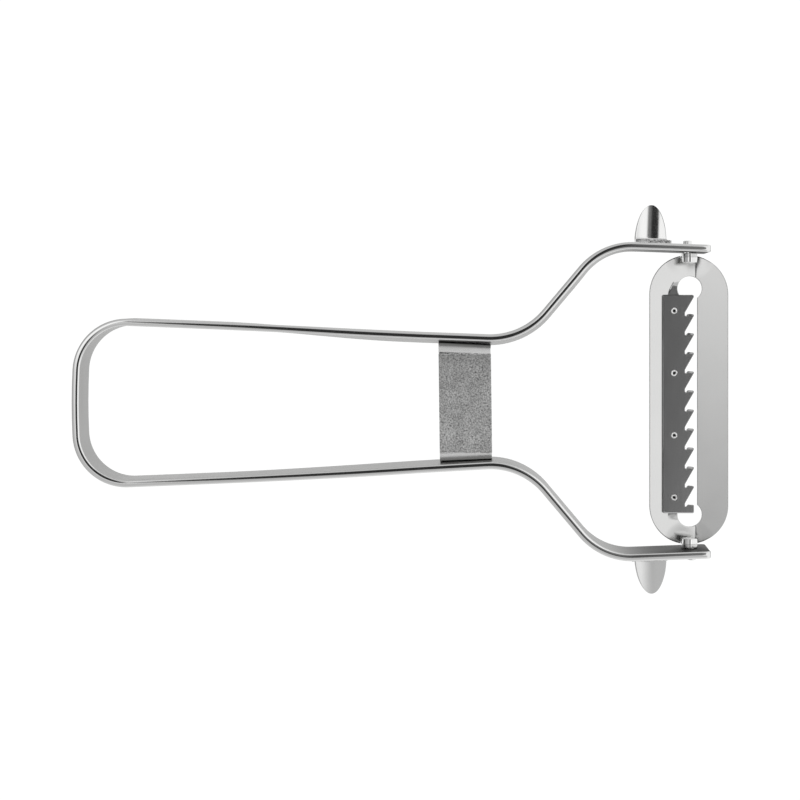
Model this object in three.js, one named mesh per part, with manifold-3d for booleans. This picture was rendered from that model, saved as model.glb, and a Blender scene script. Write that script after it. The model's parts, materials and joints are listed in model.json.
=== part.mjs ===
// Julienne Y-peeler, all stainless steel, lying flat as it does on a table.
// Millimetres. +X points from the handle's butt to the blade, +Z is up, the origin is at the middle of the footprint.
import * as THREE from 'three';
import { mergeVertices } from 'three/addons/utils/BufferGeometryUtils.js';
import Module from 'manifold-3d';

const wasm = await Module();
wasm.setup();
const { degToRad } = THREE.MathUtils;

// Handle strip: one flat bar standing on its edge, bent in plan into the loop, the waist and the fork
const stripThickness = 1.6;
const stripWidth = 12;
const stripEdgeChamfer = 0.4;
const buttHalfLength = 7.3;
const buttBowRadius = 150;
const buttCornerRadius = 11.2;
const sideLength = 79.8;
const sideTaper = degToRad(2.66);
const waistRadius = 15.9;
const forkSpread = degToRad(49.9);
const spreadLength = 12.5;
const shoulderRadius = 14.8;
const armToeIn = degToRad(2.1);
const armLength = 17;
const armCornerRadius = 1.8;

// Cross brace: a bridge plate with two flanges, welded between the sides just before the waist
const braceThickness = 0.8;
const braceWidth = 11.4;
const braceOverrun = 1;
const braceTop = 8;
const braceBendRadius = 0.7;
const braceFlangeHeight = 6.4;

// Eye gouges: a welded foot and a half-elliptical scoop on the outer face of each arm
const gougeSetback = 12.7;
const gougeThickness = 0.8;
const gougeLength = 8.7;
const gougeHalfWidth = 3.57;
const gougeTroughRadius = 11;
const gougePitch = degToRad(3);
const gougeLevel = 1.6;
const gougeFootWidth = 8;
const gougeFootOffset = 0.45;
const gougeFootTop = 5.5;

// Swivel: the two rivets through the arms and the ears of the carrier
const pivotSetback = 4.2;
const pivotHeadDiameter = 3.5;
const pivotHeadLength = 1.1;
const pivotShankDiameter = 2;
const pivotDomeDiameter = 2.6;
const pivotDomeHeight = 0.85;

// Blade carrier: a stamped sheet below the pivot axis; heights are from the axis to the middle of the sheet
const carrierThickness = 0.8;
const carrierWidth = 17.86;
const carrierDrop = 3.3;
const wingCrease = 1.7;
const wingAngle = degToRad(12);
const rimAngle = degToRad(7);
const endDishLength = 5;
const endDishRise = 0.5;
const slotLeft = -1.3;
const slotRight = 1.86;
const cuttingBevelWidth = 0.6;
const cuttingEdgeThickness = 0.15;
const keyholeRadius = 2.63;
const keyholeOffset = 0.28;
const keyholeInset = 7.6;
const earWidth = 3.5;
const earBendRadius = 0.4;
const earFootLength = 2.6;

// Toothed plate, seated on a flat land pressed in the carrier
const bladeThickness = 0.4;
const bladeLeft = -5.84;
const bladeGullet = -0.86;
const bladeTip = 1.17;
const bladeTop = 24;
const toothCount = 12;
const toothPitch = 4.31;
const toothTipLand = 0.95;
const gulletLand = 0.35;
const bladeTailLength = 1.8;
const landDepth = 0.15;
const landMargin = 0.15;
const landStep = 0.25;
const landHeadMargin = 2.1;
const landTailMargin = 1.2;
const landRunOut = 1.7;

// Eyelets: four hollow rivets through the toothed plate and the carrier
const eyeletCount = 4;
const eyeletHeadInset = 3.6;
const eyeletTailInset = 3.43;
const eyeletOffset = -3.33;
const eyeletFlangeDiameter = 1.5;
const eyeletFlangeHeight = 0.25;
const eyeletShankDiameter = 1;
const eyeletBoreDiameter = 0.6;

// Fits
const weldGap = 0.1;
const seatGap = 0.06;
const rivetGap = 0.1;
const pivotPlay = 0.15;
const endPlay = 0.32;

// Facets
const bendFacet = degToRad(7.5);
const roundSegments = 24;
const arcSegments = 20;
const cutMargin = 3;

// Joining and cutting
function solidOf(geometry) {
  const bare = geometry.clone();
  bare.deleteAttribute('normal');
  bare.deleteAttribute('uv');
  const merged = mergeVertices(bare, 1e-4);
  return new wasm.Manifold(new wasm.Mesh({
    numProp: 3,
    vertProperties: new Float32Array(merged.attributes.position.array),
    triVerts: new Uint32Array(merged.index.array),
  }));
}

function geometryOf(solid) {
  const mesh = solid.getMesh();
  const geometry = new THREE.BufferGeometry();
  geometry.setAttribute('position', new THREE.BufferAttribute(new Float32Array(mesh.vertProperties), 3));
  geometry.setIndex(new THREE.BufferAttribute(new Uint32Array(mesh.triVerts), 1));
  geometry.computeVertexNormals();
  return geometry;
}

function indexedGeometry(vertices, triangles) {
  const geometry = new THREE.BufferGeometry();
  geometry.setAttribute('position', new THREE.Float32BufferAttribute(vertices.flat(), 3));
  geometry.setIndex(triangles.flat());
  geometry.computeVertexNormals();
  return geometry;
}

// A closed solid through a row of matching outlines; place(k, u, v) puts point (u, v) of outline k in space
function loft(outlines, place) {
  const count = outlines[0].length;
  const last = outlines.length - 1;
  const vertices = outlines.flatMap((outline, k) => outline.map(([u, v]) => place(k, u, v)));
  const triangles = [];
  for (let k = 0; k < last; k += 1) {
    for (let i = 0; i < count; i += 1) {
      const a = k * count + i;
      const b = k * count + ((i + 1) % count);
      triangles.push([a, b, b + count], [a, b + count, a + count]);
    }
  }
  const flat = outlines[0].map(([u, v]) => new THREE.Vector2(u, v));
  for (const [a, b, c] of THREE.ShapeUtils.triangulateShape(flat, [])) {
    triangles.push([a, c, b], [a + last * count, b + last * count, c + last * count]);
  }
  return indexedGeometry(vertices, triangles);
}

// A sheet of even thickness whose middle follows height(x, y) over a grid
function sheet(xs, ys, height, thickness) {
  const columns = ys.length;
  const layer = xs.length * columns;
  const at = (side, i, j) => side * layer + i * columns + j;
  const vertices = [-1, 1].flatMap((side) => xs.flatMap((x) => ys.map(
    (y) => [x, y, height(x, y) + side * thickness / 2],
  )));
  const triangles = [];
  const quad = (a, b, c, d) => triangles.push([a, b, c], [a, c, d]);
  for (let i = 0; i + 1 < xs.length; i += 1) {
    for (let j = 0; j + 1 < columns; j += 1) {
      quad(at(0, i, j), at(0, i, j + 1), at(0, i + 1, j + 1), at(0, i + 1, j));
      quad(at(1, i, j), at(1, i + 1, j), at(1, i + 1, j + 1), at(1, i, j + 1));
    }
  }
  const farRow = xs.length - 1;
  const farColumn = columns - 1;
  for (let i = 0; i < farRow; i += 1) {
    quad(at(0, i, 0), at(0, i + 1, 0), at(1, i + 1, 0), at(1, i, 0));
    quad(at(0, i + 1, farColumn), at(0, i, farColumn), at(1, i, farColumn), at(1, i + 1, farColumn));
  }
  for (let j = 0; j < farColumn; j += 1) {
    quad(at(0, 0, j + 1), at(0, 0, j), at(1, 0, j), at(1, 0, j + 1));
    quad(at(0, farRow, j), at(0, farRow, j + 1), at(1, farRow, j + 1), at(1, farRow, j));
  }
  return indexedGeometry(vertices, triangles);
}

// An upright prism over a plan outline, from one height to another
function prism(shape, bottom, top) {
  const geometry = new THREE.ExtrudeGeometry(shape, {
    depth: top - bottom,
    bevelEnabled: false,
    curveSegments: arcSegments,
  });
  return geometry.translate(0, 0, bottom);
}

function boxBetween(low, high) {
  const size = high.map((value, i) => value - low[i]);
  const middle = high.map((value, i) => (value + low[i]) / 2);
  return new THREE.BoxGeometry(...size).translate(...middle);
}

// A round bar along Y or Z, for holes
function barAlongY(radius, x, z, yLow, yHigh) {
  const bar = new THREE.CylinderGeometry(radius, radius, yHigh - yLow, roundSegments);
  return bar.translate(x, (yLow + yHigh) / 2, z);
}

function barAlongZ(radius, x, y, zLow, zHigh) {
  const bar = new THREE.CylinderGeometry(radius, radius, zHigh - zLow, roundSegments);
  return bar.rotateX(Math.PI / 2).translate(x, y, (zLow + zHigh) / 2);
}

function smoothStep(from, to, value) {
  const t = THREE.MathUtils.clamp((value - from) / (to - from), 0, 1);
  return t * t * (3 - 2 * t);
}

function steps(from, to, count) {
  return Array.from({ length: count + 1 }, (_, k) => from + (to - from) * k / count);
}

// Middle line of the strip on the +Y side, from the butt to the arm tip
const halfPath = [{ x: stripThickness / 2, y: 0, heading: Math.PI / 2, inset: 0 }];

function runStraight(length, inset = 0) {
  const { x, y, heading } = halfPath.at(-1);
  const end = { x: x + length * Math.cos(heading), y: y + length * Math.sin(heading), heading, inset };
  halfPath.push(end);
  return end;
}

function runBend(radius, turn) {
  const { x, y, heading } = halfPath.at(-1);
  const side = Math.sign(turn);
  const centreX = x - side * radius * Math.sin(heading);
  const centreY = y + side * radius * Math.cos(heading);
  const count = Math.ceil(Math.abs(turn) / bendFacet);
  for (let k = 1; k <= count; k += 1) {
    const angle = heading + turn * k / count;
    halfPath.push({
      x: centreX + side * radius * Math.sin(angle),
      y: centreY - side * radius * Math.cos(angle),
      heading: angle,
      inset: 0,
    });
  }
  return halfPath.at(-1);
}

const buttTurn = buttHalfLength / buttBowRadius;
runBend(buttBowRadius, -buttTurn);
runBend(buttCornerRadius, -(Math.PI / 2 - buttTurn + sideTaper));
const sideEnd = runStraight(sideLength);
runBend(waistRadius, forkSpread + sideTaper);
runStraight(spreadLength);
runBend(shoulderRadius, -(forkSpread + armToeIn));
runStraight(armLength - armCornerRadius);
const cornerAngles = steps(0, Math.PI / 2, 5);
for (let k = 1; k < cornerAngles.length; k += 1) {
  const advance = Math.sin(cornerAngles[k]) - Math.sin(cornerAngles[k - 1]);
  runStraight(armCornerRadius * advance, armCornerRadius * (1 - Math.cos(cornerAngles[k])));
}
const armTip = halfPath.at(-1);

// Faces of the side and of the arm on the +Y side, as distances from the middle plane at a given x
const sideInner = (x) => sideEnd.y + (sideEnd.x - x) * Math.tan(sideTaper) - stripThickness / 2 / Math.cos(sideTaper);
const armMiddle = (x) => armTip.y + (armTip.x - x) * Math.tan(armToeIn);
const armInner = (x) => armMiddle(x) - stripThickness / 2 / Math.cos(armToeIn);
const armOuter = (x) => armMiddle(x) + stripThickness / 2 / Math.cos(armToeIn);

// Places that several pieces share
const pivotX = armTip.x - pivotSetback;
const pivotZ = stripWidth / 2;
const shankRadius = pivotShankDiameter / 2;
const earOuter = armInner(pivotX + earWidth / 2) - endPlay;
const earInner = earOuter - carrierThickness;
const overallLength = pivotX + carrierWidth / 2;

function buildHandleStrip() {
  const mirrored = halfPath.slice(1).reverse().map(({ x, y, heading, inset }) => (
    { x, y: -y, heading: Math.PI - heading, inset }
  ));
  const path = [...mirrored, ...halfPath];
  const half = stripThickness / 2;
  const flat = half - stripEdgeChamfer;
  const outlines = path.map(({ inset }) => {
    const low = inset;
    const high = stripWidth - inset;
    const lowSide = low + stripEdgeChamfer;
    const highSide = high - stripEdgeChamfer;
    return [
      [-half, lowSide], [-flat, low], [flat, low], [half, lowSide],
      [half, highSide], [flat, high], [-flat, high], [-half, highSide],
    ];
  });
  const bent = loft(outlines, (k, u, v) => {
    const { x, y, heading } = path[k];
    return [x - u * Math.sin(heading), y + u * Math.cos(heading), v];
  });
  const reach = armTip.y + cutMargin;
  const holes = barAlongY(shankRadius + rivetGap, pivotX, pivotZ, -reach, reach);
  return geometryOf(solidOf(bent).subtract(solidOf(holes)));
}

function buildCrossBrace() {
  const right = sideEnd.x + braceOverrun;
  const ends = [right - braceWidth, right];
  const outerRadius = braceBendRadius + braceThickness;
  const bendHeight = braceTop - outerRadius;
  const bottom = braceTop - braceFlangeHeight;
  const arc = (y, radius, angles) => angles.map(
    (angle) => [y + radius * Math.cos(angle), bendHeight + radius * Math.sin(angle)],
  );
  const quarter = steps(0, Math.PI / 2, 4);
  const far = quarter.map((angle) => angle + Math.PI / 2);
  const outlines = ends.map((x) => {
    const half = sideInner(x) - weldGap;
    const centre = half - outerRadius;
    return [
      [half, bottom],
      ...arc(centre, outerRadius, quarter),
      ...arc(-centre, outerRadius, far),
      [-half, bottom],
      [-half + braceThickness, bottom],
      ...arc(-centre, braceBendRadius, far.toReversed()),
      ...arc(centre, braceBendRadius, quarter.toReversed()),
      [half - braceThickness, bottom],
    ];
  });
  return loft(outlines, (k, u, v) => [ends[k], u, v]);
}

// Made with its foot against the plane y = 0 and its scoop towards +Y
function buildEyeGouge() {
  const far = weldGap + gougeLength;
  const middle = gougeLevel + gougeThickness / 2;
  const edge = gougeHalfWidth + cutMargin / 2;
  const trough = sheet(
    steps(-edge, edge, 12),
    [weldGap, far + cutMargin],
    (x, y) => middle + gougeTroughRadius - Math.sqrt(gougeTroughRadius ** 2 - x ** 2) - y * Math.tan(gougePitch),
    gougeThickness,
  );
  const scoop = new THREE.Shape();
  scoop.moveTo(gougeHalfWidth, 0);
  scoop.absellipse(0, weldGap, gougeHalfWidth, gougeLength, 0, Math.PI, false, 0);
  scoop.lineTo(-gougeHalfWidth, 0);
  const foot = boxBetween(
    [gougeFootOffset - gougeFootWidth / 2, weldGap, gougeLevel],
    [gougeFootOffset + gougeFootWidth / 2, weldGap + gougeThickness, gougeFootTop],
  );
  const blade = solidOf(trough).intersect(solidOf(prism(scoop, -cutMargin, stripWidth)));
  return geometryOf(blade.add(solidOf(foot)));
}

// Head towards the middle of the fork, dome outside the +Y arm
function buildPivotRivet() {
  const headOuter = earInner - rivetGap;
  const headInner = headOuter - pivotHeadLength;
  const headRadius = pivotHeadDiameter / 2;
  const headChamfer = 0.25;
  const domeRadius = pivotDomeDiameter / 2;
  const domeBase = armOuter(pivotX - domeRadius) + rivetGap;
  const dome = steps(0, Math.PI / 2, 4).map((angle) => new THREE.Vector2(
    angle < Math.PI / 2 ? domeRadius * Math.cos(angle) : 0,
    domeBase + pivotDomeHeight * Math.sin(angle),
  ));
  const profile = [
    new THREE.Vector2(0, headInner),
    new THREE.Vector2(headRadius - headChamfer, headInner),
    new THREE.Vector2(headRadius, headInner + headChamfer),
    new THREE.Vector2(headRadius, headOuter),
    new THREE.Vector2(shankRadius, headOuter),
    new THREE.Vector2(shankRadius, domeBase),
    ...dome,
  ];
  return geometryOf(solidOf(new THREE.LatheGeometry(profile, roundSegments)));
}

// Where the toothed plate and its eyelets sit on the carrier, from the pivot axis
const landLeft = bladeLeft - landMargin;
const rimHeight = (x) => -carrierDrop + (wingCrease - x) * Math.tan(rimAngle);
const landHeight = rimHeight(landLeft) - landDepth;
const bladeSeat = landHeight + carrierThickness / 2 + seatGap;
const bladeBottom = bladeTop - (toothCount - 1) * toothPitch - bladeTailLength;
const eyeletPlaces = steps(bladeTop - eyeletHeadInset, bladeBottom + eyeletTailInset, eyeletCount - 1);
const eyeletHoleRadius = eyeletShankDiameter / 2 + rivetGap;

function withEyeletHoles(solid) {
  return eyeletPlaces.reduce((rest, y) => rest.subtract(solidOf(
    barAlongZ(eyeletHoleRadius, eyeletOffset, y, landHeight - cutMargin, bladeSeat + cutMargin),
  )), solid);
}

// The carrier and what it holds are made about the pivot axis, with the origin midway between the ears
function buildBladeCarrier() {
  const half = carrierWidth / 2;
  const bendOuter = earBendRadius + carrierThickness;
  const landTop = bladeTop + landHeadMargin;
  const landBottom = bladeBottom - landTailMargin;
  const height = (x, y) => {
    const dish = endDishRise * Math.max(0, (Math.abs(y) - earOuter + endDishLength) / endDishLength) ** 2;
    if (x >= wingCrease) {
      return -carrierDrop + (x - wingCrease) * Math.tan(wingAngle) + dish;
    }
    const across = smoothStep(landLeft - landStep, landLeft, x);
    const along = Math.min(
      smoothStep(landTop + landRunOut, landTop, y),
      smoothStep(landBottom - landRunOut, landBottom, y),
    );
    return THREE.MathUtils.lerp(rimHeight(x) + dish, landHeight, across * along);
  };
  const edge = half + cutMargin / 4;
  const reach = earOuter + cutMargin / 4;
  const xs = [
    -edge, (landLeft - landStep - half) / 2, landLeft - landStep, landLeft - landStep / 2, landLeft,
    (landLeft + slotLeft) / 2, slotLeft, wingCrease, ...steps(wingCrease, edge, 3).slice(1),
  ];
  const runOut = steps(0, landRunOut, 4);
  const dishes = steps(0, endDishLength, 5);
  const ys = [
    ...dishes.map((d) => earOuter - endDishLength + d),
    ...dishes.map((d) => endDishLength - earOuter - d),
    ...runOut.map((d) => landTop + d),
    ...runOut.map((d) => landBottom - d),
    0, reach, -reach,
  ].sort((a, b) => a - b);
  const stamped = sheet(xs, ys, height, carrierThickness);

  const roundCentre = earOuter - endPlay - half;
  const outline = new THREE.Shape();
  outline.moveTo(half, -roundCentre);
  outline.lineTo(half, roundCentre);
  outline.absarc(0, roundCentre, half, 0, Math.PI, false);
  outline.lineTo(-half, -roundCentre);
  outline.absarc(0, -roundCentre, half, Math.PI, 2 * Math.PI, false);
  const keyholeY = earOuter - keyholeInset;
  const rightAngle = Math.acos((slotRight - keyholeOffset) / keyholeRadius);
  const leftAngle = Math.acos((slotLeft - keyholeOffset) / keyholeRadius);
  const slot = new THREE.Path();
  slot.moveTo(slotRight, keyholeRadius * Math.sin(rightAngle) - keyholeY);
  slot.lineTo(slotRight, keyholeY - keyholeRadius * Math.sin(rightAngle));
  slot.absarc(keyholeOffset, keyholeY, keyholeRadius, -rightAngle, 2 * Math.PI - leftAngle, false);
  slot.lineTo(slotLeft, keyholeRadius * Math.sin(leftAngle) - keyholeY);
  slot.absarc(keyholeOffset, -keyholeY, keyholeRadius, leftAngle, 2 * Math.PI + rightAngle, false);
  outline.holes.push(slot);
  let carrier = solidOf(stamped).intersect(solidOf(prism(outline, -stripWidth, stripWidth)));

  // The wing is ground to a cutting edge along the slot
  const edgeEnd = keyholeY - keyholeRadius * Math.sin(rightAngle);
  const edgeBottom = height(slotRight, 0) - carrierThickness / 2 + cuttingEdgeThickness;
  const bevelRight = slotRight + cuttingBevelWidth;
  const bevelTop = height(bevelRight, 0) + carrierThickness / 2;
  const bevelSlope = (bevelTop - edgeBottom) / cuttingBevelWidth;
  const wedge = [
    [slotRight - cuttingBevelWidth, edgeBottom - bevelSlope * cuttingBevelWidth],
    [bevelRight + cuttingBevelWidth, bevelTop + bevelSlope * cuttingBevelWidth],
    [slotRight - cuttingBevelWidth, bevelTop + bevelSlope * cuttingBevelWidth],
  ];
  const grinding = loft([wedge, wedge], (k, u, v) => [u, (1 - 2 * k) * edgeEnd, v]);
  carrier = carrier.subtract(solidOf(grinding));

  // Each ear is a tongue of the sheet, bent up against its arm and rounded about the pivot
  const earBottom = height(0, earOuter - bendOuter) - carrierThickness / 2;
  const bend = (radius, angles) => angles.map(
    (angle) => [earOuter - bendOuter + radius * Math.cos(angle), earBottom + bendOuter + radius * Math.sin(angle)],
  );
  const quarter = steps(-Math.PI / 2, 0, 4);
  const earSide = [
    [earOuter - earFootLength, earBottom],
    ...bend(bendOuter, quarter),
    [earOuter, earWidth],
    [earInner, earWidth],
    ...bend(earBendRadius, quarter.toReversed()),
    [earOuter - earFootLength, earBottom + carrierThickness],
  ];
  const earFront = new THREE.Shape();
  earFront.moveTo(earWidth / 2, -stripWidth);
  earFront.lineTo(earWidth / 2, 0);
  earFront.absarc(0, 0, earWidth / 2, 0, Math.PI, false);
  earFront.lineTo(-earWidth / 2, -stripWidth);
  const tongue = loft([earSide, earSide], (k, u, v) => [(k - 0.5) * earWidth, u, v]);
  const front = prism(earFront, 0, stripWidth * 4).rotateX(Math.PI / 2);
  const ear = solidOf(tongue).intersect(solidOf(front.translate(0, earOuter + cutMargin, 0)));
  const relief = solidOf(boxBetween(
    [-earWidth / 2, earOuter - bendOuter, -stripWidth],
    [earWidth / 2, earOuter + cutMargin, stripWidth],
  ));
  const bore = solidOf(barAlongY(shankRadius + pivotPlay, 0, 0, -earOuter - cutMargin, earOuter + cutMargin));
  carrier = carrier.subtract(relief).subtract(relief.rotate([0, 0, 180]));
  carrier = carrier.add(ear).add(ear.rotate([0, 0, 180])).subtract(bore);
  return geometryOf(withEyeletHoles(carrier));
}

function buildJulienneBlade() {
  const teeth = new THREE.Shape();
  teeth.moveTo(bladeLeft, bladeBottom);
  teeth.lineTo(bladeTip, bladeBottom);
  for (let k = toothCount - 1; k >= 0; k -= 1) {
    const edge = bladeTop - k * toothPitch;
    if (k < toothCount - 1) {
      teeth.lineTo(bladeTip, edge - toothTipLand);
    }
    teeth.lineTo(bladeTip, edge);
    if (k > 0) {
      teeth.lineTo(bladeGullet, edge);
      teeth.lineTo(bladeGullet, edge + gulletLand);
    }
  }
  teeth.lineTo(bladeLeft, bladeTop);
  const plate = solidOf(prism(teeth, bladeSeat, bladeSeat + bladeThickness));
  return geometryOf(withEyeletHoles(plate));
}

// A hollow rivet, its lower flange under the carrier and its rolled flange on the toothed plate
function buildBladeEyelet() {
  const bore = eyeletBoreDiameter / 2;
  const shank = eyeletShankDiameter / 2;
  const flange = eyeletFlangeDiameter / 2;
  const upper = bladeSeat + bladeThickness + seatGap;
  const lower = landHeight - carrierThickness / 2 - seatGap;
  const profile = [
    [bore, lower - eyeletFlangeHeight], [flange, lower - eyeletFlangeHeight], [flange, lower], [shank, lower],
    [shank, upper], [flange, upper], [flange, upper + eyeletFlangeHeight], [bore, upper + eyeletFlangeHeight],
    [bore, lower - eyeletFlangeHeight],
  ].map(([radius, height]) => new THREE.Vector2(radius, height));
  return new THREE.LatheGeometry(profile, roundSegments).rotateX(Math.PI / 2);
}

// Finishes
const steel = (color, roughness) => new THREE.MeshStandardMaterial({ color, roughness, metalness: 1 });
const polishedStrip = steel(0xc9cac9, 0.22);
const blastedPlate = steel(0x8f9090, 0.5);
const brightStamping = steel(0xd4d5d4, 0.28);
const hardenedBlade = steel(0x6f7070, 0.3);
const brightRivet = steel(0xe2e3e2, 0.15);

const peeler = new THREE.Group();
peeler.name = 'julienne_peeler';
peeler.position.x = -overallLength / 2;

function place(name, geometry, material, parent) {
  const mesh = new THREE.Mesh(geometry, material);
  mesh.name = name;
  parent.add(mesh);
  return mesh;
}

place('handle_strip', buildHandleStrip(), polishedStrip, peeler);
place('cross_brace', buildCrossBrace(), blastedPlate, peeler);

// The gouges stand on the outer faces of the arms, square to them
const gougeX = armTip.x - gougeSetback;
for (const [name, side] of [['eye_gouge_left', 1], ['eye_gouge_right', -1]]) {
  const gouge = place(name, buildEyeGouge(), brightStamping, peeler);
  gouge.position.set(gougeX, side * armOuter(gougeX), 0);
  gouge.rotation.z = (side > 0 ? 0 : Math.PI) - side * armToeIn;
}

for (const [name, turn] of [['pivot_rivet_left', 0], ['pivot_rivet_right', Math.PI]]) {
  const rivet = place(name, buildPivotRivet(), brightRivet, peeler);
  rivet.position.set(pivotX, 0, pivotZ);
  rivet.rotation.z = turn;
}

const swivel = new THREE.Group();
swivel.name = 'swivel_head';
swivel.position.set(pivotX, 0, pivotZ);
peeler.add(swivel);
place('blade_carrier', buildBladeCarrier(), brightStamping, swivel);
place('julienne_blade', buildJulienneBlade(), hardenedBlade, swivel);
eyeletPlaces.forEach((y, k) => {
  const eyelet = place(`blade_eyelet_${k + 1}`, buildBladeEyelet(), brightRivet, swivel);
  eyelet.position.set(eyeletOffset, y, 0);
});

export default peeler;
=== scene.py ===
import json
import math
import bpy
from mathutils import Matrix, Vector


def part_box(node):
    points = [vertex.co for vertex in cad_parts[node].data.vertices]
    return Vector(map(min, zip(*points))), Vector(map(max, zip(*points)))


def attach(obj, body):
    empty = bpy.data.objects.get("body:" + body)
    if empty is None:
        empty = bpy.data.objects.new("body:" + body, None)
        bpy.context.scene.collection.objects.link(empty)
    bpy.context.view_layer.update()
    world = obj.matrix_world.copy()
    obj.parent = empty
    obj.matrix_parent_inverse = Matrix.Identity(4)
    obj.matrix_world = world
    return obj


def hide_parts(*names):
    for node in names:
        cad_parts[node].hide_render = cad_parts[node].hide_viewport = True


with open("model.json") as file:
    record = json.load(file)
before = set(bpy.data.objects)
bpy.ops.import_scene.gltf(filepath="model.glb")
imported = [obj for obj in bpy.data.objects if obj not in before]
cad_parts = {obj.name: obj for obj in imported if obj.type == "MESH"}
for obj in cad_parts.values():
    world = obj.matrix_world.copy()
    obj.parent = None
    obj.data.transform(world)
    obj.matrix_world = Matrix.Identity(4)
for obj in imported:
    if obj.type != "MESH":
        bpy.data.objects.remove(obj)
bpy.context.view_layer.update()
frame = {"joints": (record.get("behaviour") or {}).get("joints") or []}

# Handle strip.
# One flat stainless bar, standing on its edge and bent cold into the loop handle, the waist and the arms.
# Its faces keep the satin of the rolled bar; its edges are tumbled to a low crown and polished.
# As bending left it, the bar leans outward, most at the waist, and the loop lies a little to the right.
MM = 0.001
strip_low, strip_high = (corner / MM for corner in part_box("handle_strip"))
strip_width = strip_high.z - strip_low.z
strip_middle_z = (strip_low.z + strip_high.z) / 2
strip_thickness = 1.6
strip_crown = 0.2
crown_steps = 22
support = 0.06
left_lean = math.radians(5.5)
right_lean = math.radians(1.6)
arm_lean = math.radians(1.2)
lean_rise = (45, 85)
lean_fall = (128, 148)
side_bow = 0.16
side_bow_start = 25
side_bow_length = 65
handle_set = 0.3
handle_set_range = (26, -16)
butt_half_length = 7.3
butt_bow_radius = 150
butt_corner_radius = 11.2
side_length = 79.8
side_taper = math.radians(2.66)
waist_radius = 15.9
fork_spread = math.radians(49.9)
spread_length = 12.5
shoulder_radius = 14.8
arm_toe_in = math.radians(2.1)
arm_length = 17
arm_corner_radius = 1.1
arm_end_round = 0.35
pivot = Vector(frame["joints"][0]["pos_m"]) / MM
rivet_hole_radius = 1.1
# The fork's inner faces are painted dark as shade: it fades in between these X, and is full where an inner
# face lies this far from the middle plane.
fork_painted_shade_range = (44, 58.5)
fork_painted_shade_reach = 10


def add(tree, kind, inputs=None, **settings):
    """A node in a tree: each input is a value, another node's output, or a node for its first output."""
    node = tree.nodes.new(kind)
    for option, value in settings.items():
        setattr(node, option, value)
    for socket, value in (inputs or {}).items():
        if isinstance(value, bpy.types.Node):
            value = value.outputs[0]
        if isinstance(value, bpy.types.NodeSocket):
            tree.links.new(value, node.inputs[socket])
        else:
            node.inputs[socket].default_value = value
    return node


def new_tree(name, sockets):
    """An empty Geometry Nodes tree with these named inputs, and its input and output nodes."""
    tree = bpy.data.node_groups.new(name, "GeometryNodeTree")
    for label, kind in sockets.items():
        tree.interface.new_socket(label, in_out="INPUT", socket_type="NodeSocket" + kind)
    tree.interface.new_socket("Piece", in_out="OUTPUT", socket_type="NodeSocketGeometry")
    return tree, tree.nodes.new("NodeGroupInput").outputs, tree.nodes.new("NodeGroupOutput")


def carried(tree, name, kind="FLOAT_VECTOR"):
    """A value that the points of the host carry."""
    return add(tree, "GeometryNodeInputNamedAttribute", {"Name": name}, data_type=kind).outputs[0]


def end_tree(tree, geometry, material, out):
    """The last nodes of a tree: real meshes in one material."""
    real = add(tree, "GeometryNodeRealizeInstances", {"Geometry": geometry})
    dressed = add(tree, "GeometryNodeSetMaterial", {"Geometry": real, "Material": material})
    tree.links.new(dressed.outputs[0], out.inputs[0])


def object_of(name, points, faces=(), edges=()):
    """An object at the origin whose mesh has these points, given in millimetres."""
    mesh = bpy.data.meshes.new(name)
    mesh.from_pydata([Vector(point) * MM for point in points], edges, faces)
    made = bpy.data.objects.new(name, mesh)
    bpy.context.scene.collection.objects.link(made)
    return made


def plain_mesh(made):
    """Turns an object's modifiers into its own mesh."""
    graph = bpy.context.evaluated_depsgraph_get()
    ready = made.evaluated_get(graph)
    mesh = bpy.data.meshes.new_from_object(ready, preserve_all_data_layers=True, depsgraph=graph)
    made.modifiers.clear()
    old = made.data
    made.data = mesh
    bpy.data.meshes.remove(old)
    mesh.name = made.name
    return made


def grown(host, tree, **values):
    """The plain mesh that a tree grows on a host object."""
    modifier = host.modifiers.new("grow", "NODES")
    modifier.node_group = tree
    for socket in tree.interface.items_tree:
        if socket.name in values:
            modifier[socket.identifier] = values[socket.name]
    return plain_mesh(host)


def shaded(made, sharp_angle):
    """Smooth shading with edges kept sharp above an angle in degrees."""
    made.data.shade_smooth()
    made.data.set_sharp_from_angle(angle=math.radians(sharp_angle))
    return made


def ring_faces(rings, count):
    """Faces between rows of matching rings of points, with flat ends."""
    faces = []
    for ring in range(rings - 1):
        for i in range(count):
            a = ring * count + i
            b = ring * count + (i + 1) % count
            faces.append((a, b, b + count, a + count))
    faces.append(tuple(reversed(range(count))))
    faces.append(tuple(range((rings - 1) * count, rings * count)))
    return faces


def drilled(made, holes):
    """Cuts round holes through a piece; each hole is (centre, axis letter, radius, length)."""
    points = []
    faces = []
    sides = 40
    for centre, axis, radius, length in holes:
        first = len(points)
        for end in (-0.5, 0.5):
            for k in range(sides):
                angle = 2 * math.pi * k / sides
                around = (radius * math.cos(angle), radius * math.sin(angle), end * length)
                turned = around if axis == "Z" else (around[1], around[2], around[0])
                points.append(Vector(centre) + Vector(turned))
        faces += [tuple(first + i for i in face) for face in ring_faces(2, sides)]
    bits = object_of("drill", points, faces)
    cut = made.modifiers.new("drill", "BOOLEAN")
    cut.operation = "DIFFERENCE"
    cut.solver = "EXACT"
    cut.object = bits
    plain_mesh(made)
    bpy.data.objects.remove(bits)
    return made


def smooth_step(low, high, value):
    """A soft step from 0 to 1."""
    t = min(1, max(0, (value - low) / (high - low)))
    return t * t * (3 - 2 * t)


def rounded_off(radius, left):
    """How far a rounding of this radius draws in at a distance from the end."""
    return radius - math.sqrt(max(0, radius ** 2 - max(0, radius - left) ** 2))


def rounding_moves(radius, steps):
    """Straight moves that get shorter towards the end of a rounding."""
    places = [radius * math.sin(math.pi / 2 * k / steps) for k in range(steps + 1)]
    return [(b - a, 0) for a, b in zip(places, places[1:])]


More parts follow.
